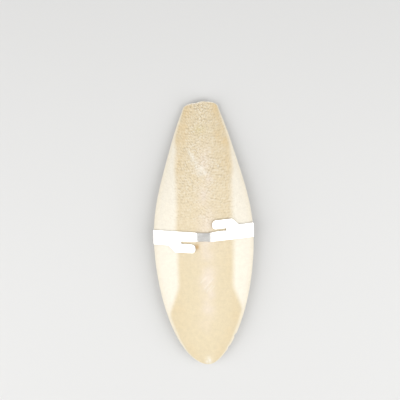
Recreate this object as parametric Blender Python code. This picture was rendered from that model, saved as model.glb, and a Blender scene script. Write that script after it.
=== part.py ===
"""A cuttlebone, lying on its belly, with the sheet-metal clip that hangs it in a cage.

The frame: +X to the right, +Y towards the trimmed rear end, +Z up. The granular back faces up. The
origin is on the table, below the middle of the whole object. Lengths are in millimetres, and MM turns
them into metres.
"""
import math

import bmesh
import bpy

MM = 0.001

# The outline of the bone, seen from above
BONE_LENGTH = 280.0
BONE_HALF_WIDTH = 53.0
WIDEST_AT = -5.0
FRONT_FULLNESS = 1.85
TIP_ASIDE = 1.6
TIP_ASIDE_FADE = 6.0

# Lines along the bone: smooth curves through points of (place along Y, value, slope)
REAR_FLANK = ((WIDEST_AT, BONE_HALF_WIDTH, 0.0), (58.0, 43.1, -0.285), (140.0, 18.6, -0.30))
MARGIN_LINE = ((-140.0, 11.0, 0.03), (-60.0, 13.2, 0.015), (10.0, 13.2, -0.02), (140.0, 5.2, -0.09))
BACK_RISE = ((-140.0, 0.0, 0.55), (-112.0, 9.6, 0.20), (-45.0, 15.4, 0.02), (40.0, 14.0, -0.06), (140.0, 5.2, -0.09))
BELLY_DROP = ((-140.0, 0.0, 0.50), (-105.0, 10.0, 0.14), (-58.0, 13.0, 0.0), (5.0, 10.0, -0.05), (140.0, 4.6, 0.0))
HOLLOW_DEPTH = ((-36.0, 0.0, 0.0), (-29.0, 1.5, 0.05), (15.0, 3.0, 0.02), (140.0, 3.4, 0.0))
LIMB_HEIGHT = ((40.0, 0.0, 0.0), (100.0, 1.6, 0.03), (140.0, 2.6, 0.0))
FLANGE = ((-140.0, 0.95, 0.0), (0.0, 0.93, 0.0), (140.0, 0.84, 0.0))

# The cross-section: places across it are shares of the half width
BACK_FULLNESS = 0.80
RIB_HEIGHT = 0.4
RIB_HALF_WIDTH = 0.16
RIB_FULL_AT_RISE = 6.0
EDGE_HALF_THICKNESS = 0.9
EDGE_ROUND = 0.25
BELLY_FULLNESS = 0.72
BELLY_SQUARENESS = 2.2
HOLLOW_HALF_WIDTH = 0.56
HOLLOW_LAG = 95.0
LIMB_AT = 0.58
LIMB_HALF_WIDTH = 0.13

# The trimmed rear end: a cut with round corners, one small step and a shallow dish
END_BLEND_FROM = 100.0
END_ARC = 4.2
END_ARC_LIMIT = 6.3
END_STEP = 1.5
END_STEP_AT = -2.0
END_STEP_STEEPNESS = 2.0
END_DISH = 0.8

# The mesh of the bone
AROUND = 52
ALONG = 72
END_RINGS = 4
TIP_CROWDING = 0.12
BONE_SHARP_DEG = 50.0

# The clip's flat blank: x along the strip, y across it; the other half is the same, turned around
CLIP_AT = -4.2
SHEET = 0.8
BAND_HALF_WIDTH_MIDDLE = 4.4
BAND_HALF_WIDTH = 5.0
SLIT_FROM = 5.2
SLIT_TO = 7.5
SLIT_HOLE_AT = 22.7
SLIT_HOLE_RADIUS = 1.35
FINGER_TIP_AT = 9.0
FINGER_TO = 16.9
FINGER_CORNER = 3.4
SHOULDER_FROM = 30.5
SHOULDER_TO = 37.5
END_TO = 10.2
END_CORNER = 3.0
CORNER_STEPS = 5
HOLE_STEPS = 10

# The clip's bends, from its flat middle outwards: straight run before each, angle, radius of mid-sheet
FLAT_HALF = 7.0
FLAT_TOP = 31.75
BENDS = ((FLAT_HALF, 10.5, 4.0), (16.7, 7.0, 30.0), (9.3, 9.5, 30.0), (12.6, 63.0, 2.4), (0.9, 65.0, 2.4))
LIP = 3.6
BEND_STEP_DEG = 9.0
SWEEP = 0.08
CLIP_SHARP_DEG = 30.0
MERGE = 0.001


def smooth_line(knots, place):
    """The value at a place on the smooth curve through (place, value, slope) knots."""
    if place <= knots[0][0]:
        return knots[0][1]
    for start, stop in zip(knots, knots[1:]):
        if place <= stop[0]:
            span = stop[0] - start[0]
            t = (place - start[0]) / span
            keep = 2 * t ** 3 - 3 * t ** 2 + 1
            pull = t ** 3 - 2 * t ** 2 + t
            push = t ** 3 - t ** 2
            return keep * start[1] + (1 - keep) * stop[1] + span * (pull * start[2] + push * stop[2])
    return knots[-1][1]


def half_width(along):
    """Half the bone's width: a full, nearly elliptical front, and flanks that taper to the rear."""
    if along >= WIDEST_AT:
        return smooth_line(REAR_FLANK, along)
    reach = min((WIDEST_AT - along) / (WIDEST_AT + BONE_LENGTH / 2), 1.0)
    return BONE_HALF_WIDTH * (1 - reach ** FRONT_FULLNESS) ** (1 / FRONT_FULLNESS)


def edge_height(side):
    """Half the thickness of the rounded margin, which opens up from nothing on the rim."""
    inwards = 1 - min(side / EDGE_ROUND, 1.0)
    return EDGE_HALF_THICKNESS * math.sqrt(1 - inwards ** 2)


def back_height(along, across, side):
    """How high the back stands above the margin, with its low rib along the middle."""
    rise = smooth_line(BACK_RISE, along) * side ** (2 * BACK_FULLNESS)
    rib = RIB_HEIGHT * math.exp(-(across / RIB_HALF_WIDTH) ** 2) * min(rise / RIB_FULL_AT_RISE, 1.0)
    return edge_height(side) + rise + rib


def belly_depth(along, across, side):
    """How far the belly hangs below the margin: a full front chamber, and a hollow between two limbs."""
    outwards = abs(across) / smooth_line(FLANGE, along)
    belly = smooth_line(BELLY_DROP, along) * max(1 - outwards ** BELLY_SQUARENESS, 0.0) ** BELLY_FULLNESS
    behind = along - HOLLOW_LAG * across ** 2
    hollow = smooth_line(HOLLOW_DEPTH, behind) * math.exp(-(across / HOLLOW_HALF_WIDTH) ** 2)
    limb = smooth_line(LIMB_HEIGHT, along) * math.exp(-((abs(across) - LIMB_AT) / LIMB_HALF_WIDTH) ** 2)
    return edge_height(side) + belly - hollow + limb


def section_point(along, turn):
    """A point (x, z) of the cross-section; turn runs once round it, from the right-hand margin."""
    across = math.cos(turn)
    side = abs(math.sin(turn))
    margin = smooth_line(MARGIN_LINE, along)
    aside = TIP_ASIDE * math.exp(-(along + BONE_LENGTH / 2) / TIP_ASIDE_FADE)
    if math.sin(turn) >= 0:
        height = margin + back_height(along, across, side)
    else:
        height = margin - belly_depth(along, across, side)
    return aside + half_width(along) * across, max(height, 0.0)


def end_middle():
    """Height of the middle of the trimmed end."""
    top = section_point(BONE_LENGTH / 2, math.pi / 2)[1]
    bottom = section_point(BONE_LENGTH / 2, -math.pi / 2)[1]
    return (top + bottom) / 2


def end_shift(across, along):
    """How far the trimmed end falls short of a straight cut; it fades out along the bone."""
    share = min(max((along - END_BLEND_FROM) / (BONE_LENGTH / 2 - END_BLEND_FROM), 0.0), 1.0)
    corner = END_ARC * (abs(across) / half_width(BONE_LENGTH / 2)) ** 4
    step = END_STEP / (1 + math.exp(END_STEP_STEEPNESS * (across - END_STEP_AT)))
    return share ** 2 * (min(corner, END_ARC_LIMIT) + step)


def make_bone(collection, material):
    """The bone starts as a sphere: one pole goes to the tip, the other into the trimmed end."""
    shape = bmesh.new()
    bmesh.ops.create_uvsphere(shape, u_segments=AROUND, v_segments=ALONG, radius=1.0)
    sections = ALONG - END_RINGS
    for vertex in shape.verts:
        ring = round(math.acos(max(-1.0, min(1.0, -vertex.co.z))) / math.pi * ALONG)
        turn = math.atan2(vertex.co.y, vertex.co.x)
        forward = min(ring / sections, 1.0)
        along = BONE_LENGTH * ((1 + TIP_CROWDING) * forward ** 2 / (forward + TIP_CROWDING) - 0.5)
        x, z = section_point(along, turn)
        inwards = max(ring - sections, 0) / END_RINGS
        x = x * (1 - inwards)
        z = z + inwards * (end_middle() - z)
        y = along - end_shift(x, along) - END_DISH * math.sin(math.pi * inwards)
        vertex.co = (x * MM, y * MM, z * MM)
    return finish_piece("cuttlebone", shape, BONE_SHARP_DEG, collection, material)


def round_corner(corner, before, after, radius):
    """Points of the arc that rounds a right-angled corner between two unit directions."""
    points = []
    for step in range(CORNER_STEPS + 1):
        turn = math.pi / 2 * step / CORNER_STEPS
        back = radius * (1 - math.sin(turn))
        onward = radius * (1 - math.cos(turn))
        x = corner[0] - before[0] * back + after[0] * onward
        y = corner[1] - before[1] * back + after[1] * onward
        points.append((x, y))
    return points


def slit_hole():
    """Points round the hole that ends the slit, clockwise from one side of the slit to the other."""
    half_slit = (SLIT_TO - SLIT_FROM) / 2
    mouth = math.asin(half_slit / SLIT_HOLE_RADIUS)
    points = []
    for step in range(HOLE_STEPS + 1):
        turn = math.pi - mouth - 2 * (math.pi - mouth) * step / HOLE_STEPS
        x = SLIT_HOLE_AT + SLIT_HOLE_RADIUS * math.cos(turn)
        y = SLIT_FROM + half_slit + SLIT_HOLE_RADIUS * math.sin(turn)
        points.append((x, y))
    return points


def half_blank(end):
    """The right half of the flat blank, counter-clockwise: band, end, shoulder, finger and slit."""
    right, left, up, down = (1, 0), (-1, 0), (0, 1), (0, -1)
    points = [(0.0, -BAND_HALF_WIDTH_MIDDLE), (FINGER_TIP_AT, -BAND_HALF_WIDTH)]
    points += round_corner((end, -BAND_HALF_WIDTH), right, up, END_CORNER)
    points += round_corner((end, END_TO), up, left, END_CORNER)
    points += [(SHOULDER_TO, END_TO), (SHOULDER_FROM, FINGER_TO)]
    points += round_corner((FINGER_TIP_AT, FINGER_TO), left, down, FINGER_CORNER)
    points += round_corner((FINGER_TIP_AT, SLIT_TO), down, right, FINGER_CORNER)
    points += slit_hole()
    points += [(FINGER_TIP_AT + FINGER_CORNER, SLIT_FROM), (BAND_HALF_WIDTH_MIDDLE, BAND_HALF_WIDTH_MIDDLE)]
    return points


def bend_stations():
    """Every line where the sheet bends, as (run along the blank, x, z, heading), from the middle out."""
    run, x, z, heading = 0.0, 0.0, FLAT_TOP - SHEET / 2, 0.0
    stations = [(run, x, z, heading)]
    for straight, angle, radius in BENDS:
        run += straight
        x += straight * math.cos(heading)
        z -= straight * math.sin(heading)
        stations.append((run, x, z, heading))
        steps = math.ceil(angle / BEND_STEP_DEG)
        for _ in range(steps):
            turned = heading + math.radians(angle) / steps
            x += radius * (math.sin(turned) - math.sin(heading))
            z += radius * (math.cos(turned) - math.cos(heading))
            run += radius * (turned - heading)
            heading = turned
            stations.append((run, x, z, heading))
    stations.append((run + LIP, x + LIP * math.cos(heading), z - LIP * math.sin(heading), heading))
    return stations


def bent(place, stations):
    """Where a point (along, across, above) of the flat blank goes once the sheet is bent."""
    along = abs(place[0])
    hand = math.copysign(1.0, place[0])
    for start, stop in zip(stations, stations[1:]):
        if along <= stop[0] + MERGE:
            break
    share = (along - start[0]) / (stop[0] - start[0])
    x = start[1] + share * (stop[1] - start[1])
    z = start[2] + share * (stop[2] - start[2])
    heading = start[3] + share * (stop[3] - start[3])
    swept = SWEEP * max(x - FLAT_HALF, 0.0)
    out_x = x + place[2] * math.sin(heading)
    return hand * out_x, CLIP_AT + place[1] + swept, z + place[2] * math.cos(heading)


def flat_blank(collection, end):
    """The blank as a mesh: a filled 2D outline with the sheet's thickness."""
    half = half_blank(end)
    outline = half + [(-x, -y) for x, y in half]
    curve = bpy.data.curves.new("blank", "CURVE")
    curve.dimensions = "2D"
    curve.fill_mode = "BOTH"
    curve.extrude = SHEET / 2
    spline = curve.splines.new("POLY")
    spline.points.add(len(outline) - 1)
    for point, (x, y) in zip(spline.points, outline):
        point.co = (x, y, 0.0, 1.0)
    spline.use_cyclic_u = True
    blank = bpy.data.objects.new("blank", curve)
    collection.objects.link(blank)
    bpy.context.view_layer.update()
    mesh = bpy.data.meshes.new_from_object(blank.evaluated_get(bpy.context.evaluated_depsgraph_get()))
    bpy.data.objects.remove(blank)
    return mesh


def make_clip(collection, material):
    """The clip is cut as a flat blank, scored along its bend lines, and bent over the back."""
    stations = bend_stations()
    blank = flat_blank(collection, stations[-1][0])
    shape = bmesh.new()
    shape.from_mesh(blank)
    bpy.data.meshes.remove(blank)
    bmesh.ops.remove_doubles(shape, verts=shape.verts, dist=MERGE)
    for station in stations[:-1]:
        for hand in (-1, 1):
            everything = shape.verts[:] + shape.edges[:] + shape.faces[:]
            line = (hand * station[0], 0.0, 0.0)
            bmesh.ops.bisect_plane(shape, geom=everything, dist=MERGE, plane_co=line, plane_no=(1, 0, 0))
    for vertex in shape.verts:
        x, y, z = bent(vertex.co, stations)
        vertex.co = (x * MM, y * MM, z * MM)
    return finish_piece("clip", shape, CLIP_SHARP_DEG, collection, material)


def finish_piece(name, shape, sharp_deg, collection, material):
    """Turns a finished bmesh into a smooth-shaded object with its material."""
    bmesh.ops.recalc_face_normals(shape, faces=shape.faces)
    mesh = bpy.data.meshes.new(name)
    shape.to_mesh(mesh)
    shape.free()
    mesh.materials.append(material)
    mesh.shade_smooth()
    mesh.set_sharp_from_angle(angle=math.radians(sharp_deg))
    piece = bpy.data.objects.new(name, mesh)
    collection.objects.link(piece)
    return piece


def plain_material(name, colour, roughness, metallic):
    """A Principled material of one colour."""
    material = bpy.data.materials.new(name)
    material.use_nodes = True
    shader = material.node_tree.nodes["Principled BSDF"]
    shader.inputs["Base Color"].default_value = (*colour, 1.0)
    shader.inputs["Roughness"].default_value = roughness
    shader.inputs["Metallic"].default_value = metallic
    return material


def main():
    for old in list(bpy.data.objects):
        bpy.data.objects.remove(old)
    parts = bpy.data.collections.new("cuttlebone with clip")
    bpy.context.scene.collection.children.link(parts)
    make_bone(parts, plain_material("chalk", (0.84, 0.72, 0.50), 0.75, 0.0))
    make_clip(parts, plain_material("plated steel", (0.78, 0.77, 0.75), 0.22, 1.0))


main()
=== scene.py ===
"""The looks of a cuttlebone with its hanging clip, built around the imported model.

Lengths are in millimetres in the model's own frame: +X to the right, +Y along the bone towards its
trimmed rear end, +Z up. MM turns them into metres. The bone and the clip keep the shape of their
solids. Added here are the grain, the growth lines and the wear of the bone, and both finishes.
"""
import math

import bmesh
import bpy
import numpy as np
from mathutils import Matrix, Vector

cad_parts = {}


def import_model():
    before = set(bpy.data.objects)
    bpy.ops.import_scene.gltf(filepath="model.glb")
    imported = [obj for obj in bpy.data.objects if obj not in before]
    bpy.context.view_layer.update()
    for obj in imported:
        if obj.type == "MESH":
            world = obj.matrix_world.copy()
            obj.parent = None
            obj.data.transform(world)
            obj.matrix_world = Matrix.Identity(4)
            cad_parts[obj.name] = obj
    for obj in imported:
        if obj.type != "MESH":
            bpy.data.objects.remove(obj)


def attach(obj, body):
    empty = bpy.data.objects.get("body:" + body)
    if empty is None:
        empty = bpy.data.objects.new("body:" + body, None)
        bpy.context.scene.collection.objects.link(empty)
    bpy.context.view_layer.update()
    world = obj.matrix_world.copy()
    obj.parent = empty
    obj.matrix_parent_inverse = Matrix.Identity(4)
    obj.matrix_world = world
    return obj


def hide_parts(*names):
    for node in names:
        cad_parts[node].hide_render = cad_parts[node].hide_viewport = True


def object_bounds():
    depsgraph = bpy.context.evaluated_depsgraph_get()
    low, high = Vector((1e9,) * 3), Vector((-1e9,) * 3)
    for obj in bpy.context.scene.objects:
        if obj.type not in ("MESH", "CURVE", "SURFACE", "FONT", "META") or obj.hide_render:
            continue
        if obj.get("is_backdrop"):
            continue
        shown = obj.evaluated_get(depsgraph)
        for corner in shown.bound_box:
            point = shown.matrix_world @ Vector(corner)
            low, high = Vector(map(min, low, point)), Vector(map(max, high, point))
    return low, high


MM = 0.001

# The outline of the bone, seen from above
BONE_LENGTH = 280.0
HALF_LENGTH = BONE_LENGTH / 2
BONE_HALF_WIDTH = 53.0
WIDEST_AT = -5.0
FRONT_FULLNESS = 1.85
TIP_ASIDE = 1.6
TIP_ASIDE_FADE = 6.0

# Lines along the bone: smooth curves through points of (place along Y, value, slope)
REAR_FLANK = ((WIDEST_AT, BONE_HALF_WIDTH, 0.0), (58.0, 43.1, -0.285), (140.0, 18.6, -0.30))
MARGIN_LINE = ((-140.0, 11.0, 0.03), (-60.0, 13.2, 0.015), (10.0, 13.2, -0.02), (140.0, 5.2, -0.09))
BACK_RISE = (
    (-140.0, 0.0, 0.55),
    (-112.0, 9.6, 0.20),
    (-45.0, 15.4, 0.02),
    (40.0, 14.0, -0.06),
    (140.0, 5.2, -0.09),
)
BELLY_DROP = (
    (-140.0, 0.0, 0.50),
    (-105.0, 10.0, 0.14),
    (-58.0, 13.0, 0.0),
    (5.0, 10.0, -0.05),
    (140.0, 4.6, 0.0),
)
HOLLOW_DEPTH = ((-36.0, 0.0, 0.0), (-29.0, 1.5, 0.05), (15.0, 3.0, 0.02), (140.0, 3.4, 0.0))
LIMB_HEIGHT = ((40.0, 0.0, 0.0), (100.0, 1.6, 0.03), (140.0, 2.6, 0.0))
FLANGE = ((-140.0, 0.95, 0.0), (0.0, 0.93, 0.0), (140.0, 0.84, 0.0))

# The cross-section of the bone: places across it are shares of the half width
BACK_FULLNESS = 0.80
RIB_HEIGHT = 0.4
RIB_HALF_WIDTH = 0.16
RIB_FULL_AT_RISE = 6.0
EDGE_HALF_THICKNESS = 0.9
EDGE_ROUND = 0.25
BELLY_FULLNESS = 0.72
BELLY_SQUARENESS = 2.2
HOLLOW_HALF_WIDTH = 0.56
HOLLOW_LAG = 95.0
LIMB_AT = 0.58
LIMB_HALF_WIDTH = 0.13

# The trimmed rear end: a cut with round corners, one small step and a shallow dish
END_BLEND_FROM = 100.0
END_ARC = 4.2
END_ARC_LIMIT = 6.3
END_STEP = 1.5
END_STEP_AT = -2.0
END_STEP_STEEPNESS = 2.0
END_DISH = 0.8

# The mesh of the bone: rows are close together at the tip and where the back is rough
ROW_SPACING = (
    (-140.0, 0.12, 0.0),
    (-132.0, 1.1, 0.0),
    (-45.0, 1.1, 0.0),
    (-12.0, 0.56, 0.0),
    (140.0, 0.48, 0.0),
)
BACK_STEPS = 168
BELLY_STEPS = 50
MARGIN_CROWDING = 0.35
END_RINGS = 20
ROW_SEARCH_STEPS = 28001
BONE_SHARP_DEG = 62.0

# The random patterns repeat after so many hills or points in each direction
HILL_TABLE = 64
POINT_TABLE = 128

# The grain of the back: how strong it is along the bone, and granules in staggered rows
GRAIN = (
    (-140.0, 0.03, 0.0),
    (-60.0, 0.10, 0.001),
    (-22.0, 0.20, 0.004),
    (12.0, 0.72, 0.006),
    (140.0, 1.3, 0.002),
)
GRAIN_STEP = 2.8
GRAIN_DEPTH = 0.42
GRAIN_PROUD = 0.06
GROWTH_PERIOD = 4.3
FINE_GROWTH_SHARE = 0.43
GROWTH_HEIGHT = 0.07

# The belly: where its front chamber ends and its hollow starts, and their growth lines
CHAMBER_TO = -37.0
HOLLOW_FROM = -31.0
HOLLOW_PERIOD = 2.4
CHAMBER_PERIOD = 7.0
END_LAYER = 0.95

# Colours, as the share of red, green and blue light sent back
# CREAM also paints the shade in the furrows of the belly
CREAM = (0.735, 0.625, 0.435)
COLUMN = (0.80, 0.70, 0.60)
GOLD = (0.755, 0.58, 0.32)
FOOT = (0.72, 0.615, 0.42)
# FLANK_AND_PAINTED_GLARE is partly the flanks' own paler colour and partly painted glare
FLANK_AND_PAINTED_GLARE = (0.89, 0.85, 0.75)
RIM = (0.86, 0.79, 0.65)
# CHALK also paints the highlights on the tops of the granules
CHALK = (0.90, 0.88, 0.82)
OLIVE = (0.70, 0.60, 0.32)
# The next colour is painted shadow under the tip of the clip's left finger
FINGER_SHADOW = (0.50, 0.29, 0.10)
# The next colour is painted shade, between the granules and in the pits of the worn patch
PAINTED_GAP_SHADE = (0.50, 0.40, 0.26)
STEEL = (0.78, 0.77, 0.75)
FLOOR = (0.68, 0.68, 0.675)

# Worn and stained places on the back, and a spot of painted shadow under the clip's left finger: (x, y) of
# the middle or of both ends. The worn patch is wider at WORN_TO, where its half width comes first, and the
# pale column runs along the whole back.
WORN_FROM = (-13.3, 86.0)
WORN_TO = (-1.0, 64.0)
WORN_HALF_WIDTHS = (7.0, 3.0)
PIT_STEP = 1.9
PALE_SPOT = (17.0, 70.0)
OLIVE_SPOT = (-2.1, 109.0)
# Middle of the painted shadow under the tip of the clip's left finger
FINGER_SHADOW_SPOT = (-7.2, -14.2)
TIP_CHALK = (2.1, -135.6)
COLUMN_AT = 3.0
COLUMN_HALF_WIDTH = 8.0
MIDDLE_HALF_WIDTH = 28.4

# Chips out of the margin, as (x, y, depth, reach), and scratches, as (x, y) of both ends
CHIPS = ((31.5, -109.9, 1.3, 2.2), (24.0, -122.2, 1.0, 2.6))
SCRATCHES = (
    (-1.0, -58.5, 8.6, -47.2),
    (1.6, -61.0, 7.4, -54.6),
    (-4.6, -52.0, 1.4, -45.8),
    (5.4, -60.4, 10.2, -54.9),
)

# The clip's flat blank: x along the strip, y across it; the other half is the same, turned around.
# The corners of its fingers are rounder than on the solid.
CLIP_AT = -4.2
CLIP_CALM = 24.0
SHEET = 0.8
SHEET_EDGE_RADIUS = 0.14
BAND_HALF_WIDTH_MIDDLE = 4.4
BAND_HALF_WIDTH = 5.0
SLIT_FROM = 5.2
SLIT_TO = 7.5
SLIT_HOLE_AT = 22.7
SLIT_HOLE_RADIUS = 1.35
NECK_AT = 4.4
FINGER_TIP_AT = 9.0
FINGER_TO = 16.9
FINGER_CORNER = 4.2
SHOULDER_FROM = 30.5
SHOULDER_TO = 37.5
END_TO = 10.2
END_CORNER = 3.0
CORNER_STEPS = 9
HOLE_STEPS = 18

# The clip's bends, from its flat middle outwards: straight run before each, angle, radius of mid-sheet.
# The first is softer than on the solid, and CREASE_TRIM leaves the wings where they are.
FLAT_HALF = 7.0
FLAT_TOP = 31.75
CREASE_TRIM = 1.47
BENDS = (
    (FLAT_HALF - CREASE_TRIM, 10.5, 20.0),
    (16.7 - CREASE_TRIM, 7.0, 30.0),
    (9.3, 9.5, 30.0),
    (12.6, 63.0, 2.4),
    (0.9, 65.0, 2.4),
)
LIP = 3.6
BEND_STEP_DEG = 3.0
SWEEP = 0.08
CLIP_SHARP_DEG = 40.0
MERGE = 0.001

# The photograph: a square frame, looked at from straight above
VIEW_MIDDLE = (-2.95, 34.7)
VIEW_WIDTH = 424.7
VIEW_PLANE = 13.0
VIEW_DISTANCE = 900.0
VIEW_LEAN_DEG = 1.45
SENSOR = 36.0

# The light: the softboxes, in degrees and metres, and how bright they and the surrounding look
SOFTBOX_SIDE_DEG = 41.0
SOFTBOX_FORWARD_DEG = 13.0
SOFTBOX_DISTANCE = 1.05
SOFTBOX_WIDTH = 0.85
SOFTBOX_LENGTH = 1.3
SOFTBOX_RADIANCE = 1.93
HORIZON_RADIANCE = 0.42
ZENITH_RADIANCE = 0.62
SURROUNDING = (1.0, 0.995, 0.985)

# The floor, in metres
FLOOR_SIZE = 6.0
FLOOR_DROP = 0.0002


def smooth_line(knots, place):
    """Values at places on the smooth curve through (place, value, slope) knots."""
    place = np.clip(place, knots[0][0], knots[-1][0])
    value = np.full(np.shape(place), float(knots[0][1]))
    for start, stop in zip(knots, knots[1:]):
        span = stop[0] - start[0]
        t = np.clip((place - start[0]) / span, 0.0, 1.0)
        keep = 2 * t ** 3 - 3 * t ** 2 + 1
        pull = t ** 3 - 2 * t ** 2 + t
        push = t ** 3 - t ** 2
        piece = keep * start[1] + (1 - keep) * stop[1] + span * (pull * start[2] + push * stop[2])
        value = np.where(place >= start[0], piece, value)
    return value


def ease(value, start, stop):
    """0 before start, 1 after stop, and a smooth passage between them; start may be the larger one."""
    t = np.clip((value - start) / (stop - start), 0.0, 1.0)
    return t * t * (3 - 2 * t)


def half_width(along):
    """Half the bone's width: a full, nearly elliptical front, and flanks that taper to the rear."""
    reach = np.clip((WIDEST_AT - along) / (WIDEST_AT + HALF_LENGTH), 0.0, 1.0)
    front = BONE_HALF_WIDTH * (1 - reach ** FRONT_FULLNESS) ** (1 / FRONT_FULLNESS)
    return np.where(along >= WIDEST_AT, smooth_line(REAR_FLANK, along), front)


def edge_height(side):
    """Half the thickness of the rounded margin, which opens up from nothing on the rim."""
    inwards = 1 - np.minimum(side / EDGE_ROUND, 1.0)
    return EDGE_HALF_THICKNESS * np.sqrt(1 - inwards ** 2)


def back_height(along, across, side):
    """How high the back stands above the margin, with its low rib along the middle."""
    rise = smooth_line(BACK_RISE, along) * side ** (2 * BACK_FULLNESS)
    rib = RIB_HEIGHT * np.exp(-(across / RIB_HALF_WIDTH) ** 2) * np.minimum(rise / RIB_FULL_AT_RISE, 1.0)
    return edge_height(side) + rise + rib


def behind_border(along, across):
    """How far a place of the belly lies behind the curved border of the front chamber."""
    return along - HOLLOW_LAG * across ** 2


def belly_depth(along, across, side):
    """How far the belly hangs below the margin: a full front chamber, and a hollow between two limbs."""
    outwards = np.abs(across) / smooth_line(FLANGE, along)
    arch = np.maximum(1 - outwards ** BELLY_SQUARENESS, 0.0) ** BELLY_FULLNESS
    belly = smooth_line(BELLY_DROP, along) * arch
    trough = np.exp(-(across / HOLLOW_HALF_WIDTH) ** 2)
    hollow = smooth_line(HOLLOW_DEPTH, behind_border(along, across)) * trough
    crest = np.exp(-((np.abs(across) - LIMB_AT) / LIMB_HALF_WIDTH) ** 2)
    limb = smooth_line(LIMB_HEIGHT, along) * crest
    return edge_height(side) + belly - hollow + limb


def section_point(along, turn):
    """Points (x, z) of the cross-section; turn runs once round it, from the right-hand margin."""
    across = np.cos(turn)
    side = np.abs(np.sin(turn))
    margin = smooth_line(MARGIN_LINE, along)
    aside = TIP_ASIDE * np.exp(-(along + HALF_LENGTH) / TIP_ASIDE_FADE)
    upper = margin + back_height(along, across, side)
    lower = margin - belly_depth(along, across, side)
    height = np.where(np.sin(turn) >= 0, upper, lower)
    return aside + half_width(along) * across, np.maximum(height, 0.0)


def end_middle():
    """Height of the middle of the trimmed end."""
    top = section_point(HALF_LENGTH, math.pi / 2)[1]
    bottom = section_point(HALF_LENGTH, -math.pi / 2)[1]
    return (top + bottom) / 2


def end_shift(across, along):
    """How far the trimmed end falls short of a straight cut; it fades out along the bone."""
    share = np.clip((along - END_BLEND_FROM) / (HALF_LENGTH - END_BLEND_FROM), 0.0, 1.0)
    corner = END_ARC * (np.abs(across) / half_width(HALF_LENGTH)) ** 4
    step = END_STEP / (1 + np.exp(END_STEP_STEEPNESS * (across - END_STEP_AT)))
    return share ** 2 * (np.minimum(corner, END_ARC_LIMIT) + step)


def hills(x, y, size, seed):
    """Smooth random hills about that size apart, from -1 to 1; each seed gives its own pattern."""
    table = np.random.default_rng(seed).uniform(-1.0, 1.0, (HILL_TABLE, HILL_TABLE))
    u, v = x / size, y / size
    column, row = np.floor(u).astype(int), np.floor(v).astype(int)
    right, up = ease(u - column, 0.0, 1.0), ease(v - row, 0.0, 1.0)
    here, beside = column % HILL_TABLE, (column + 1) % HILL_TABLE
    low, high = row % HILL_TABLE, (row + 1) % HILL_TABLE
    lower = table[here, low] * (1 - right) + table[beside, low] * right
    upper = table[here, high] * (1 - right) + table[beside, high] * right
    return lower * (1 - up) + upper * up


def scattered(u, v, spread, seed):
    """Distance to the nearest of the points scattered one to a unit cell, and that point's own number."""
    table = np.random.default_rng(seed).uniform(0.0, 1.0, (3, POINT_TABLE, POINT_TABLE))
    column, row = np.floor(u).astype(int), np.floor(v).astype(int)
    nearest = np.full(np.shape(u), np.inf)
    own = np.zeros(np.shape(u))
    for right in (-1, 0, 1):
        for up in (-1, 0, 1):
            cell = ((column + right) % POINT_TABLE, (row + up) % POINT_TABLE)
            du = u - (column + right + 0.5 + spread * (table[0][cell] - 0.5))
            dv = v - (row + up + 0.5 + spread * (table[1][cell] - 0.5))
            distance = np.hypot(du, dv)
            closer = distance < nearest
            nearest = np.where(closer, distance, nearest)
            own = np.where(closer, table[2][cell], own)
    return nearest, own


def line_distance(x, y, start, stop):
    """Distance from the straight line between two points."""
    run = (stop[0] - start[0], stop[1] - start[1])
    share = ((x - start[0]) * run[0] + (y - start[1]) * run[1]) / (run[0] ** 2 + run[1] ** 2)
    share = np.clip(share, 0.0, 1.0)
    return np.hypot(x - start[0] - share * run[0], y - start[1] - share * run[1])


def growth(x, along):
    """Which growth line a place lies on: the lines bow towards the tip, and steepen to the sides."""
    return along - np.abs(x) ** 1.5 / np.sqrt(np.maximum(half_width(along), 6.0))


class Surface:
    """The points of the bone's surface, row by row, and what is known of each."""

    def __init__(self):
        rows = row_places()
        turns = turn_angles()
        along, turn = np.meshgrid(rows, turns, indexing="ij")
        x, z = section_point(along, turn)
        inwards = np.arange(1, END_RINGS)[:, None] / END_RINGS
        shrunk = x[-1] * (1 - inwards)
        sunk = z[-1] + inwards * (end_middle() - z[-1])
        self.rows = len(rows) + END_RINGS - 1
        self.around = len(turns)
        self.along = np.vstack([along, np.full(shrunk.shape, HALF_LENGTH)])
        self.across = np.vstack([np.cos(turn), np.repeat(np.cos(turn[-1:]), END_RINGS - 1, axis=0)])
        self.side = np.vstack([np.sin(turn), np.repeat(np.sin(turn[-1:]), END_RINGS - 1, axis=0)])
        self.inwards = np.vstack([np.zeros(along.shape), np.repeat(inwards, self.around, axis=1)])
        self.x = np.vstack([x, shrunk])
        self.z = np.vstack([z, sunk])
        dish = END_DISH * np.sin(math.pi * self.inwards)
        self.y = self.along - end_shift(self.x, self.along) - dish
        self.back = np.where(self.inwards == 0, ease(self.side, 0.05, 0.4), 0.0)
        self.belly = np.where(self.inwards == 0, ease(-self.side, 0.02, 0.3), 0.0)
        self.end = (self.inwards > 0).astype(float)


def row_places():
    """Places of the rows along the bone, from just behind the tip to the trimmed end."""
    fine = np.linspace(-HALF_LENGTH, HALF_LENGTH, ROW_SEARCH_STEPS)
    steps = np.cumsum(1 / smooth_line(ROW_SPACING, fine)) * (fine[1] - fine[0])
    wanted = np.linspace(steps[0], steps[-1], round(steps[-1]) + 1)
    return np.interp(wanted, steps, fine)[1:]


def turn_angles():
    """Angles round the section: even steps across the bone, closer at the margins, more on the back."""
    angles = []
    for start, steps in ((0.0, BACK_STEPS), (math.pi, BELLY_STEPS)):
        share = np.arange(steps) / steps
        even = 1 - 2 * share
        across = (1 - MARGIN_CROWDING) * even + MARGIN_CROWDING * np.cos(math.pi * share)
        angles.append(start + np.arccos(across))
    return np.concatenate(angles)


def near_clip(surface):
    """1 under and beside the clip, where nothing may stand proud, and 0 well away from it."""
    return np.exp(-((surface.y - CLIP_AT) / CLIP_CALM) ** 2)


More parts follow.
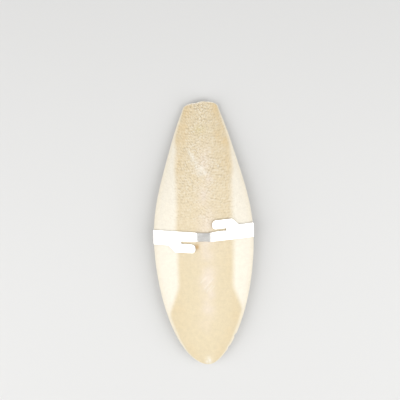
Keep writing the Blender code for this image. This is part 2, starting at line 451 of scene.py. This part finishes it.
def worn_patch(surface):
    """Where the grain of the back is rubbed off, in one long slanting patch and one small spot."""
    ragged = 1.7 * hills(surface.x, surface.y, 2.7, 11) + 0.9 * hills(surface.x, surface.y, 1.3, 12)
    wide = np.interp(surface.y, (WORN_TO[1], WORN_FROM[1]), WORN_HALF_WIDTHS)
    away = (line_distance(surface.x, surface.y, WORN_FROM, WORN_TO) + ragged) / wide
    spot = np.hypot(surface.x - PALE_SPOT[0], surface.y - PALE_SPOT[1]) + 0.5 * ragged
    patch = np.maximum(ease(away, 1.15, 0.1), 0.8 * ease(spot, 1.9, 0.6))
    thin = 0.66 + 0.34 * hills(surface.x, surface.y, 1.7, 13)
    return patch * thin * surface.back


def worn_pits(surface):
    """The small pits left open where the back is worn; their dark colour is painted shade."""
    nearest, own = scattered(surface.x / PIT_STEP, surface.y / PIT_STEP, 0.9, 7)
    return ease(nearest, 0.50, 0.16) * ease(own, 0.05, 0.5)


def grain_strength(surface):
    """How strong the granules are: most at the rear and along the middle, none on the rim."""
    broad = 1 - 0.55 * ease(np.abs(surface.across), 0.5, 0.85)
    uneven = 1 + 0.35 * hills(surface.x, surface.y, 9.0, 3)
    rim = ease(np.abs(surface.across), 0.98, 0.9)
    smoother = 1 - 0.65 * flank_and_painted_glare(surface)
    return smooth_line(GRAIN, surface.along) * broad * uneven * rim * smoother * surface.back


def granules(surface):
    """Granules from 0, between them, to 1, on the highest ones."""
    line = growth(surface.x, surface.y) + 0.8 * hills(surface.x, surface.y, 7.0, 4)
    nearest, own = scattered((line + surface.x) / GRAIN_STEP, (line - surface.x) / GRAIN_STEP, 0.5, 5)
    return np.clip(1.15 - (nearest / 0.6) ** 2, 0.0, 1.0) * (0.45 + 0.55 * own)


def scratches(surface):
    """Fine straight scratches on the smooth front half of the back."""
    marks = np.zeros(surface.x.shape)
    for x0, y0, x1, y1 in SCRATCHES:
        marks = np.maximum(marks, ease(line_distance(surface.x, surface.y, (x0, y0), (x1, y1)), 0.7, 0.15))
    return marks * surface.back


def back_relief(surface, grain, worn):
    """How far the back stands out of the smooth shape."""
    strength = grain_strength(surface)
    relief = strength * (1 - worn) * (GRAIN_PROUD - GRAIN_DEPTH * (1 - grain))
    line = growth(surface.x, surface.y) + 1.3 * hills(surface.x, surface.y, 13.0, 6)
    broad_ridges = np.sin(2 * math.pi * line / GROWTH_PERIOD)
    fine_ridges = np.sin(2 * math.pi * line / (FINE_GROWTH_SHARE * GROWTH_PERIOD))
    ridges = broad_ridges + 0.6 * fine_ridges
    relief += GROWTH_HEIGHT * ridges * (0.35 + 0.65 * strength) * surface.back
    relief -= worn * (0.12 + 0.30 * worn_pits(surface))
    swell = 0.22 * hills(surface.x, surface.y, 26.0, 8) + 0.10 * hills(surface.x, surface.y, 10.0, 9)
    relief += swell * (1 - near_clip(surface)) * surface.back
    streaks = hills(surface.x, surface.y / 14.0, 1.7, 10)
    relief += 0.035 * streaks * (1 - strength) * surface.back
    relief -= 0.07 * scratches(surface)
    return np.minimum(relief, GRAIN_PROUD + 0.25 * (1 - near_clip(surface)))


def belly_lines(surface, place, period):
    """Growth lines of the belly that wander a little, from -1 in a furrow to 1 on a ridge."""
    wander = 1.2 * hills(surface.x, surface.y, 15.0, 21)
    return np.sin(2 * math.pi * (place + wander) / period)


def in_hollow(surface):
    """1 in the hollow of the belly, 0 on the front chamber, and a short passage between them."""
    return ease(behind_border(surface.along, surface.across), CHAMBER_TO, HOLLOW_FROM)


def belly_relief(surface):
    """Growth lines across the hollow of the belly, and faint ones on the front chamber."""
    inside = in_hollow(surface)
    lines = belly_lines(surface, behind_border(surface.along, surface.across), HOLLOW_PERIOD)
    faint = belly_lines(surface, surface.along + 20.0 * surface.across ** 2, CHAMBER_PERIOD)
    relief = 0.17 * inside * lines + 0.05 * (1 - inside) * faint
    return (relief - 0.17) * surface.belly * ease(surface.z, 0.05, 1.2)


def end_layers(surface):
    """The chalk layers of the trimmed end, from -1 between two of them to 1 on one."""
    wander = 0.6 * hills(surface.x, surface.z, 5.0, 31)
    return np.sin(2 * math.pi * (surface.z + wander) / END_LAYER)


def end_relief(surface):
    """The trimmed end is broken along its layers, and crumbly."""
    crumbs = hills(surface.x, surface.z, 1.1, 32)
    return -(0.22 + 0.10 * end_layers(surface) + 0.16 * crumbs) * surface.end


def chip_margin(surface):
    """Breaks small chips out of the margin, and roughens the rim of the trimmed end."""
    for x, y, depth, size in CHIPS:
        away = np.hypot(surface.x - x, surface.y - y) / size
        bite = depth * ease(away, 1.0, 0.35) * (0.8 + 0.3 * hills(surface.x, surface.y, 0.8, 41))
        surface.x -= bite * math.copysign(1.0, x)
    rim = ease(surface.along, HALF_LENGTH - 2.5, HALF_LENGTH) * ease(surface.inwards, 0.12, 0.0)
    ragged = 0.5 + 0.5 * hills(surface.x, surface.z, 1.9, 42)
    surface.y -= 0.6 * ragged * rim


def mix(colour, towards, weight):
    """The colours turned by that weight towards another one."""
    weight = np.clip(weight, 0.0, 1.0)[..., None]
    return colour * (1 - weight) + np.array(towards) * weight


def near(surface, spot, wide, long):
    """1 at a spot on the back, fading out over its width and length."""
    squared = ((surface.x - spot[0]) / wide) ** 2 + ((surface.y - spot[1]) / long) ** 2
    return np.exp(-squared) * surface.back


def flank_and_painted_glare(surface):
    """The paler, smoother flanks on both sides of the granular middle; their paleness is partly painted
    glare.
    """
    wavy = 1.6 * hills(surface.x * 0.2, surface.y, 17.0, 51)
    edge = MIDDLE_HALF_WIDTH + 0.05 * surface.x + 10.0 * ease(surface.y, -55.0, -92.0) + wavy
    length = ease(surface.y, -98.0, -78.0) * ease(surface.y, 118.0, 92.0)
    return ease(np.abs(surface.x), edge - 2.5, edge + 4.5) * length


def all_over(surface, colour):
    """The same colour at every point."""
    return np.zeros((*surface.x.shape, 3)) + np.array(colour)


def paint_back(surface, grain, worn):
    """The colours of the back: cream, with a pale column, golden sides, flanks made paler partly as
    painted glare, an olive stain, painted shadow under the clip's finger, granules with painted shade
    between them and painted highlights on top, and wear with painted shade in its pits.
    """
    x, y = surface.x, surface.y
    patchy = hills(x, y, 8.0, 52)
    colour = mix(all_over(surface, CREAM), FOOT, ease(y, 0.0, -50.0))
    column = np.exp(-((x - COLUMN_AT) / COLUMN_HALF_WIDTH) ** 2)
    column *= 0.55 + 0.45 * patchy
    column *= ease(y, 118.0, 60.0)
    colour = mix(colour, COLUMN, 0.9 * column * ease(y, -115.0, -85.0))
    flank_gold = ease(np.abs(surface.across), 0.25, 0.8) * (0.6 + 0.5 * patchy)
    colour = mix(colour, GOLD, flank_gold * (0.25 + 0.6 * ease(y, 40.0, 110.0)))
    colour = mix(colour, OLIVE, 0.55 * near(surface, OLIVE_SPOT, 6.0, 4.0))
    # Paler flanks: partly their own colour, partly painted glare
    colour = mix(colour, FLANK_AND_PAINTED_GLARE, 0.8 * flank_and_painted_glare(surface))
    colour = mix(colour, RIM, 0.8 * ease(np.abs(surface.across), 0.86, 0.97))
    strength = grain_strength(surface)
    # Painted shade between the granules
    colour = mix(colour, PAINTED_GAP_SHADE, 0.62 * strength * (1 - worn) * ease(grain, 0.35, 0.0))
    # Painted highlights on the tops of the granules
    colour = mix(colour, CHALK, 0.34 * strength * ease(grain, 0.5, 0.95))
    colour = mix(colour, CHALK, 0.66 * worn)
    # Painted shade in the pits of the worn patch
    colour = mix(colour, PAINTED_GAP_SHADE, 0.8 * worn * worn_pits(surface))
    colour = mix(colour, CHALK, 0.35 * scratches(surface))
    broken = 0.8 + 0.5 * hills(x, y, 1.8, 54)
    colour = mix(colour, CHALK, 0.7 * broken * near(surface, TIP_CHALK, 3.2, 4.2))
    # Painted shadow under the tip of the clip's left finger
    colour = mix(colour, FINGER_SHADOW, 0.8 * near(surface, FINGER_SHADOW_SPOT, 2.3, 3.0))
    lip = ease(surface.along, HALF_LENGTH - 1.6, HALF_LENGTH - 0.4) * (0.6 + 0.6 * hills(x, y, 2.2, 53))
    return mix(colour, CHALK, lip)


def paint_belly(surface):
    """The colours of the belly: chalk, with a creamy chamber and rim, and painted shade in its furrows."""
    inside = in_hollow(surface)
    colour = mix(all_over(surface, CHALK), CREAM, 0.16 * (1 - inside))
    colour = mix(colour, RIM, 0.7 * ease(np.abs(surface.across), 0.84, 0.95))
    lines = belly_lines(surface, behind_border(surface.along, surface.across), HOLLOW_PERIOD)
    # Painted shade in the furrows of the hollow
    return mix(colour, CREAM, 0.45 * ease(lines, 0.2, -1.0) * inside)


def paint(surface, grain, worn):
    """The colour of every point, without the fine mottling."""
    below = ease(-surface.side, -0.1, 0.1)[..., None]
    colour = paint_back(surface, grain, worn) * (1 - below) + paint_belly(surface) * below
    end = mix(all_over(surface, CHALK), CREAM, 0.35 * ease(end_layers(surface), 0.0, -1.0))
    ending = surface.end[..., None]
    return colour * (1 - ending) + end * ending


def bone_mesh(surface):
    """A closed mesh through the points, with one more at the tip and one in the middle of the end."""
    rows, around = surface.rows, surface.around
    points = np.stack([surface.x, surface.y, surface.z], axis=-1).reshape(-1, 3)
    tip = (surface.x[0].mean(), -HALF_LENGTH, surface.z[0].mean())
    end = (0.0, HALF_LENGTH - END_STEP / 2 - 0.2, float(end_middle()))
    points = np.vstack([points, [tip, end]]) * MM
    row, step = np.meshgrid(np.arange(rows - 1), np.arange(around), indexing="ij")
    following = (step + 1) % around
    quads = np.stack([row * around + step, (row + 1) * around + step,
                      (row + 1) * around + following, row * around + following], axis=-1)
    faces = quads.reshape(-1, 4).tolist()
    last = (rows - 1) * around
    for step in range(around):
        following = (step + 1) % around
        faces.append((rows * around, step, following))
        faces.append((rows * around + 1, last + following, last + step))
    mesh = bpy.data.meshes.new("cuttlebone_body")
    mesh.from_pydata(points.tolist(), [], faces)
    mesh.update()
    return mesh


def push_out(mesh, relief):
    """Moves the points of a mesh along their normals, by millimetres."""
    normals = np.zeros(len(mesh.vertices) * 3, np.float32)
    mesh.vertex_normals.foreach_get("vector", normals)
    places = np.zeros(len(mesh.vertices) * 3, np.float32)
    mesh.vertices.foreach_get("co", places)
    moved = places.reshape(-1, 3) + normals.reshape(-1, 3) * relief[:, None] * MM
    moved[:, 1] = np.clip(moved[:, 1], -HALF_LENGTH * MM, HALF_LENGTH * MM)
    moved[:, 2] = np.maximum(moved[:, 2], 0.0)
    mesh.vertices.foreach_set("co", moved.astype(np.float32).ravel())
    mesh.update()


def store(mesh, name, kind, field, values):
    """Keeps values for every point of the mesh; the tip and the middle of the end copy a neighbour's."""
    rows, around = values.shape[:2]
    flat = values.reshape(rows * around, -1)
    flat = np.vstack([flat, flat[:1], flat[-1:]])
    layer = mesh.attributes.new(name, kind, "POINT")
    layer.data.foreach_set(field, flat.astype(np.float32).ravel())


def make_bone():
    """The cuttlebone with its grain, growth lines, wear and colours."""
    surface = Surface()
    worn = worn_patch(surface)
    grain = granules(surface)
    relief = back_relief(surface, grain, worn) + belly_relief(surface) + end_relief(surface)
    tint = paint(surface, grain, worn)
    gloss = flank_and_painted_glare(surface) * surface.back
    chip_margin(surface)
    mesh = bone_mesh(surface)
    push_out(mesh, np.append(relief.ravel(), [0.0, 0.0]))
    store(mesh, "tint", "FLOAT_COLOR", "color", np.dstack([tint, np.ones(gloss.shape)]))
    store(mesh, "gloss", "FLOAT", "value", gloss)
    mesh.shade_smooth()
    mesh.set_sharp_from_angle(angle=math.radians(BONE_SHARP_DEG))
    bone = bpy.data.objects.new("cuttlebone_body", mesh)
    bpy.context.scene.collection.objects.link(bone)
    mesh.materials.append(bone_material())
    return bone


def round_corner(corner, before, after, radius):
    """Points of the arc that rounds a right-angled corner between two unit directions."""
    points = []
    for step in range(CORNER_STEPS + 1):
        turn = math.pi / 2 * step / CORNER_STEPS
        back = radius * (1 - math.sin(turn))
        onward = radius * (1 - math.cos(turn))
        x = corner[0] - before[0] * back + after[0] * onward
        y = corner[1] - before[1] * back + after[1] * onward
        points.append((x, y))
    return points


def slit_hole():
    """Points round the hole that ends the slit, clockwise from one side of the slit to the other."""
    half_slit = (SLIT_TO - SLIT_FROM) / 2
    mouth = math.asin(half_slit / SLIT_HOLE_RADIUS)
    points = []
    for step in range(HOLE_STEPS + 1):
        turn = math.pi - mouth - 2 * (math.pi - mouth) * step / HOLE_STEPS
        x = SLIT_HOLE_AT + SLIT_HOLE_RADIUS * math.cos(turn)
        y = SLIT_FROM + half_slit + SLIT_HOLE_RADIUS * math.sin(turn)
        points.append((x, y))
    return points


def half_blank(end):
    """The right half of the flat blank, counter-clockwise: band, end, shoulder, finger and slit."""
    right, left, up, down = (1, 0), (-1, 0), (0, 1), (0, -1)
    points = [(0.0, -BAND_HALF_WIDTH_MIDDLE), (FINGER_TIP_AT, -BAND_HALF_WIDTH)]
    points += round_corner((end, -BAND_HALF_WIDTH), right, up, END_CORNER)
    points += round_corner((end, END_TO), up, left, END_CORNER)
    points += [(SHOULDER_TO, END_TO), (SHOULDER_FROM, FINGER_TO)]
    points += round_corner((FINGER_TIP_AT, FINGER_TO), left, down, FINGER_CORNER)
    points += round_corner((FINGER_TIP_AT, SLIT_TO), down, right, FINGER_CORNER)
    points += slit_hole()
    points += [(FINGER_TIP_AT + FINGER_CORNER, SLIT_FROM), (NECK_AT, BAND_HALF_WIDTH_MIDDLE)]
    return points


def bend_stations():
    """Every line where the sheet bends, as (run along the blank, x, z, heading), from the middle out."""
    run, x, z, heading = 0.0, 0.0, FLAT_TOP - SHEET / 2, 0.0
    stations = [(run, x, z, heading)]
    for straight, angle, radius in BENDS:
        run += straight
        x += straight * math.cos(heading)
        z -= straight * math.sin(heading)
        stations.append((run, x, z, heading))
        steps = math.ceil(angle / BEND_STEP_DEG)
        for _ in range(steps):
            turned = heading + math.radians(angle) / steps
            x += radius * (math.sin(turned) - math.sin(heading))
            z += radius * (math.cos(turned) - math.cos(heading))
            run += radius * (turned - heading)
            heading = turned
            stations.append((run, x, z, heading))
    stations.append((run + LIP, x + LIP * math.cos(heading), z - LIP * math.sin(heading), heading))
    return stations


def bent(place, stations):
    """Where a point (along, across, above) of the flat blank goes once the sheet is bent."""
    along = abs(place[0])
    hand = math.copysign(1.0, place[0])
    for start, stop in zip(stations, stations[1:]):
        if along <= stop[0] + MERGE:
            break
    share = (along - start[0]) / (stop[0] - start[0])
    x = start[1] + share * (stop[1] - start[1])
    z = start[2] + share * (stop[2] - start[2])
    heading = start[3] + share * (stop[3] - start[3])
    swept = SWEEP * max(x - FLAT_HALF, 0.0)
    out_x = x + place[2] * math.sin(heading)
    return hand * out_x, CLIP_AT + place[1] + swept, z + place[2] * math.cos(heading)


def flat_blank(end):
    """The blank as a mesh: a filled 2D outline with the sheet's thickness and rounded edges."""
    half = half_blank(end)
    outline = half + [(-x, -y) for x, y in half]
    curve = bpy.data.curves.new("blank", "CURVE")
    curve.dimensions = "2D"
    curve.fill_mode = "BOTH"
    curve.extrude = SHEET / 2 - SHEET_EDGE_RADIUS
    curve.bevel_depth = SHEET_EDGE_RADIUS
    curve.bevel_resolution = 1
    curve.offset = -SHEET_EDGE_RADIUS
    spline = curve.splines.new("POLY")
    spline.points.add(len(outline) - 1)
    for point, (x, y) in zip(spline.points, outline):
        point.co = (x, y, 0.0, 1.0)
    spline.use_cyclic_u = True
    blank = bpy.data.objects.new("blank", curve)
    bpy.context.scene.collection.objects.link(blank)
    bpy.context.view_layer.update()
    mesh = bpy.data.meshes.new_from_object(blank.evaluated_get(bpy.context.evaluated_depsgraph_get()))
    bpy.data.objects.remove(blank)
    return mesh


def make_clip():
    """The clip is cut as a flat blank, scored along its bend lines, and bent over the back."""
    stations = bend_stations()
    blank = flat_blank(stations[-1][0])
    shape = bmesh.new()
    shape.from_mesh(blank)
    bpy.data.meshes.remove(blank)
    bmesh.ops.remove_doubles(shape, verts=shape.verts, dist=MERGE)
    for run, *_ in stations[:-1]:
        for hand in (-1, 1):
            everything = shape.verts[:] + shape.edges[:] + shape.faces[:]
            line = (hand * run, 0.0, 0.0)
            bmesh.ops.bisect_plane(shape, geom=everything, dist=MERGE, plane_co=line, plane_no=(1, 0, 0))
    for vertex in shape.verts:
        x, y, z = bent(vertex.co, stations)
        vertex.co = (x * MM, y * MM, z * MM)
    bmesh.ops.recalc_face_normals(shape, faces=shape.faces)
    mesh = bpy.data.meshes.new("clip_strip")
    shape.to_mesh(mesh)
    shape.free()
    mesh.shade_smooth()
    mesh.set_sharp_from_angle(angle=math.radians(CLIP_SHARP_DEG))
    mesh.materials.append(steel_material())
    clip = bpy.data.objects.new("clip_strip", mesh)
    bpy.context.scene.collection.objects.link(clip)
    clip.modifiers.new("flat faces", "WEIGHTED_NORMAL").keep_sharp = True
    return clip


def new_material(name):
    """A node material, its tree and its shader."""
    material = bpy.data.materials.new(name)
    material.use_nodes = True
    tree = material.node_tree
    return material, tree, tree.nodes["Principled BSDF"]


def add_noise(tree, place, scale, detail, roughness=0.5):
    """A noise texture on those coordinates; its scale is in features a metre."""
    noise = tree.nodes.new("ShaderNodeTexNoise")
    noise.inputs["Scale"].default_value = scale
    noise.inputs["Detail"].default_value = detail
    noise.inputs["Roughness"].default_value = roughness
    tree.links.new(place, noise.inputs["Vector"])
    return noise.outputs["Fac"]


def add_range(tree, value, low, high):
    """Spreads a noise's usual range between two values."""
    spread = tree.nodes.new("ShaderNodeMapRange")
    spread.inputs["From Min"].default_value = 0.3
    spread.inputs["From Max"].default_value = 0.7
    spread.inputs["To Min"].default_value = low
    spread.inputs["To Max"].default_value = high
    tree.links.new(value, spread.inputs["Value"])
    return spread.outputs["Result"]


def add_product(tree, first, second):
    """One value times another."""
    product = tree.nodes.new("ShaderNodeMath")
    product.operation = "MULTIPLY"
    tree.links.new(first, product.inputs[0])
    tree.links.new(second, product.inputs[1])
    return product.outputs["Value"]


def add_bump(tree, height, depth, strength, under=None):
    """A bump of that depth in metres, on top of another bump if there is one."""
    bump = tree.nodes.new("ShaderNodeBump")
    bump.inputs["Distance"].default_value = depth
    bump.inputs["Strength"].default_value = strength
    tree.links.new(height, bump.inputs["Height"])
    if under is not None:
        tree.links.new(under, bump.inputs["Normal"])
    return bump.outputs["Normal"]


def add_place(tree, stretch=(1.0, 1.0, 1.0)):
    """The object's own coordinates in metres, stretched."""
    coordinates = tree.nodes.new("ShaderNodeTexCoord")
    mapping = tree.nodes.new("ShaderNodeMapping")
    mapping.inputs["Scale"].default_value = stretch
    tree.links.new(coordinates.outputs["Object"], mapping.inputs["Vector"])
    return mapping.outputs["Vector"]


def bone_material():
    """Dry, chalky bone: the painted colour with fine mottling and grit, and some sheen on the flanks."""
    material, tree, shader = new_material("dry cuttlebone")
    place = add_place(tree)
    tint = tree.nodes.new("ShaderNodeAttribute")
    tint.attribute_name = "tint"
    gloss = tree.nodes.new("ShaderNodeAttribute")
    gloss.attribute_name = "gloss"
    mottle = add_range(tree, add_noise(tree, place, 260.0, 4.0, 0.6), 0.955, 1.03)
    speckle = add_range(tree, add_noise(tree, place, 1500.0, 2.0), 0.96, 1.03)
    shade = tree.nodes.new("ShaderNodeVectorMath")
    shade.operation = "SCALE"
    tree.links.new(tint.outputs["Color"], shade.inputs[0])
    tree.links.new(add_product(tree, mottle, speckle), shade.inputs["Scale"])
    tree.links.new(shade.outputs["Vector"], shader.inputs["Base Color"])
    rough = tree.nodes.new("ShaderNodeMapRange")
    rough.inputs["To Min"].default_value = 0.78
    rough.inputs["To Max"].default_value = 0.46
    tree.links.new(gloss.outputs["Fac"], rough.inputs["Value"])
    tree.links.new(rough.outputs["Result"], shader.inputs["Roughness"])
    grit = add_bump(tree, add_noise(tree, place, 2600.0, 3.0, 0.6), 0.00008, 0.45)
    tree.links.new(grit, shader.inputs["Normal"])
    return material


def steel_material():
    """Bright nickel plate on rolled steel: fine rolling marks along the strip, and faint cloudiness."""
    material, tree, shader = new_material("bright plate")
    shader.inputs["Base Color"].default_value = (*STEEL, 1.0)
    shader.inputs["Metallic"].default_value = 1.0
    rolled = add_noise(tree, add_place(tree, (60.0, 3200.0, 60.0)), 1.0, 3.0)
    cloudy = add_noise(tree, add_place(tree), 240.0, 3.0)
    tree.links.new(add_range(tree, cloudy, 0.18, 0.27), shader.inputs["Roughness"])
    tree.links.new(add_bump(tree, rolled, 0.00001, 0.5), shader.inputs["Normal"])
    return material


def plain_material(name, colour, roughness):
    """One even colour, for the floor."""
    material, _, shader = new_material(name)
    shader.inputs["Base Color"].default_value = (*colour, 1.0)
    shader.inputs["Roughness"].default_value = roughness
    return material


def make_floor():
    """A plain pale floor, far larger than the view."""
    bpy.ops.mesh.primitive_plane_add(size=FLOOR_SIZE, location=(0.0, 0.0, -FLOOR_DROP))
    floor = bpy.context.object
    floor.name = "floor"
    floor.data.materials.append(plain_material("pale floor", FLOOR, 0.9))
    floor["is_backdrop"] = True


def softbox(name, side_deg):
    """A large soft light on one side, leaned towards the tip, aimed at the bone."""
    light = bpy.data.lights.new(name, "AREA")
    light.shape = "RECTANGLE"
    light.size = SOFTBOX_WIDTH
    light.size_y = SOFTBOX_LENGTH
    light.energy = SOFTBOX_RADIANCE * math.pi * SOFTBOX_WIDTH * SOFTBOX_LENGTH
    lamp = bpy.data.objects.new(name, light)
    side, forward = math.radians(side_deg), math.radians(SOFTBOX_FORWARD_DEG)
    out = Vector((math.sin(side), -math.sin(forward), math.cos(side) * math.cos(forward))).normalized()
    lamp.location = out * SOFTBOX_DISTANCE
    lamp.rotation_euler = out.to_track_quat("Z", "Y").to_euler()
    bpy.context.scene.collection.objects.link(lamp)


def make_light():
    """Plain studio light: two large softboxes, and a pale surrounding, darker towards the horizon."""
    softbox("softbox_left", -SOFTBOX_SIDE_DEG)
    softbox("softbox_right", SOFTBOX_SIDE_DEG)
    world = bpy.data.worlds.new("pale surrounding")
    world.use_nodes = True
    tree = world.node_tree
    background = tree.nodes["Background"]
    background.inputs["Color"].default_value = (*SURROUNDING, 1.0)
    direction = tree.nodes.new("ShaderNodeTexCoord")
    height = tree.nodes.new("ShaderNodeSeparateXYZ")
    spread = tree.nodes.new("ShaderNodeMapRange")
    spread.inputs["To Min"].default_value = HORIZON_RADIANCE
    spread.inputs["To Max"].default_value = ZENITH_RADIANCE
    tree.links.new(direction.outputs["Generated"], height.inputs["Vector"])
    tree.links.new(height.outputs["Z"], spread.inputs["Value"])
    tree.links.new(spread.outputs["Result"], background.inputs["Strength"])
    bpy.context.scene.world = world


def make_camera():
    """The photograph's view: straight down, with the bone leaning a little to the left."""
    camera = bpy.data.cameras.new("camera")
    camera.sensor_width = SENSOR
    camera.lens = SENSOR * VIEW_DISTANCE / VIEW_WIDTH
    camera.clip_start = 0.01
    camera.clip_end = 20.0
    eye = bpy.data.objects.new("camera", camera)
    height = (VIEW_PLANE + VIEW_DISTANCE) * MM
    place = Matrix.Translation((VIEW_MIDDLE[0] * MM, VIEW_MIDDLE[1] * MM, height))
    eye.matrix_world = place @ Matrix.Rotation(-math.radians(VIEW_LEAN_DEG), 4, "Z")
    bpy.context.scene.collection.objects.link(eye)
    bpy.context.scene.camera = eye
    bpy.context.scene.view_settings.view_transform = "Standard"


def main():
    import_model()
    cad_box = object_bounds()
    make_camera()
    make_light()
    make_floor()
    bone = make_bone()
    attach(bone, "root")
    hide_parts("cuttlebone")
    clip = make_clip()
    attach(clip, "root")
    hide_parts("clip")
    sizes = {"cad": cad_box, "visual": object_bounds()}
    sizes = {name: [list(corner) for corner in box] for name, box in sizes.items()}


main()
